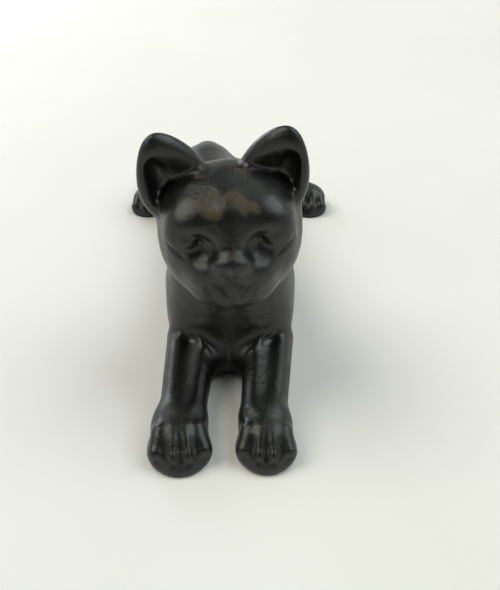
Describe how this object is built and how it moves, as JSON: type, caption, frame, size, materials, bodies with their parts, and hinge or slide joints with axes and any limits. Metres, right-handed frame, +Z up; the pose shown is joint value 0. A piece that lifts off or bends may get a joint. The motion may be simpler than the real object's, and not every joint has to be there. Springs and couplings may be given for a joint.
{
  "type": "cat doorstop",
  "caption": "Cast iron doorstop in the form of a cat lying on its belly, head up and forepaws stretched forward, resting on its flat underside.",
  "frame": {"origin": "centre of the bounding box on the flat underside", "axes": "+Z up, the cat faces -Y, its left side is +X"},
  "size_m": [0.0862, 0.19, 0.0857],
  "materials": {
    "painted_iron": "semi-gloss black paint, worn to brown on the forehead, nose and ear roots"
  },
  "bodies": {
    "root": {"cat": "painted_iron"}
  },
  "joints": []
}
